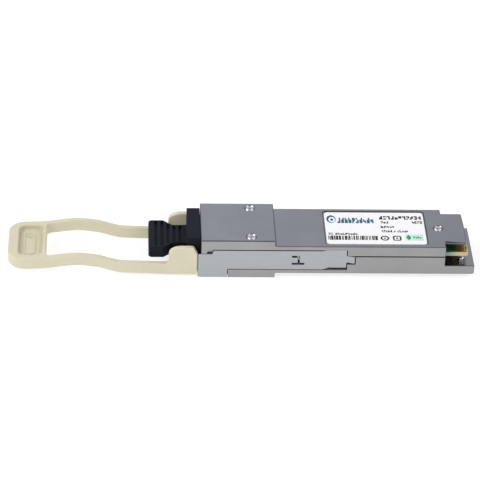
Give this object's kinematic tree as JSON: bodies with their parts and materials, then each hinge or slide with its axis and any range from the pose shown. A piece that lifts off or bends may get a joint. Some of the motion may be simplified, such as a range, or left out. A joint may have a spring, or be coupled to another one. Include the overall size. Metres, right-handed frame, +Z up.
{
  "type": "optical transceiver module",
  "caption": "Pluggable optical transceiver module: plated two-part shell, sliding side latch with a soft pull tab, ribbed dust plug in the fibre port and a gold-fingered card edge.",
  "frame": {"origin": "middle of the footprint, on the plane of the head's underside", "axes": "+X from the pull tab towards the card edge (the way the module goes into its cage), +Z up out of the labelled cover, +Y to the left seen from the pull tab"},
  "size_m": [0.1232, 0.0184, 0.0114],
  "materials": {
    "plating": "satin nickel plating over a zinc die casting",
    "stainless": "stamped stainless sheet, lightly brushed along its length",
    "screw": "bright plated",
    "spring": "drawn spring wire",
    "tab": "fine matte moulded texture, soft thermoplastic",
    "rubber": "matte moulded rubber",
    "label": "printed polyester film",
    "receptacle": "moulded glass-filled plastic",
    "ferrule": "moulded filled epoxy, polished end face",
    "gasket": "conductive elastomer",
    "ribbon": "coated fibre ribbon",
    "lens": "clear amber optical resin",
    "board": "green solder mask over glass-epoxy",
    "chip": "moulded package",
    "die": "bare semiconductor",
    "pad": "soft gap filler",
    "ceramic": "fired ceramic with tinned ends",
    "contact": "hard gold plating on the card's contacts",
    "ink": "printing ink on the label"
  },
  "bodies": {
    "module": {"lower_housing": "plating", "upper_cover": "plating", "cover_screw_left": "screw", "cover_screw_right": "screw", "cover_screw_rear": "screw", "label": "label", "return_spring_left": "spring", "return_spring_right": "spring", "mpo_receptacle": "receptacle", "emi_gasket": "gasket", "mt_ferrule": "ferrule", "guide_pin_left": "screw", "guide_pin_right": "screw", "pin_keeper": "stainless", "fibre_ribbon": "ribbon", "lens_block": "lens", "circuit_board": "board", "laser_array": "die", "photodiode_array": "die", "driver_chip": "chip", "receiver_chip": "chip", "microcontroller": "chip", "voltage_regulator": "chip", "power_inductor": "chip", "capacitor_1": "ceramic", "capacitor_2": "ceramic", "capacitor_3": "ceramic", "capacitor_4": "ceramic", "capacitor_5": "ceramic", "capacitor_6": "ceramic", "capacitor_7": "ceramic", "capacitor_8": "ceramic", "thermal_pad_top": "pad", "thermal_pad_bottom": "pad"},
    "latch": {"latch_slider": "stainless", "pull_tab": "tab"},
    "plug": {"dust_plug": "rubber"}
  },
  "joints": [
    {"name": "pull_release", "type": "slide", "parent": "module", "child": "latch", "axis": [-1, 0, 0], "range_m": [0, 0.0014], "stiffness_N_per_m": 500, "springref_m": -0.0004, "deforming": ["return_spring_left", "return_spring_right"]},
    {"name": "plug_removal", "type": "slide", "parent": "module", "child": "plug", "axis": [-1, 0, 0], "range_m": [0, 0.0075]}
  ]
}
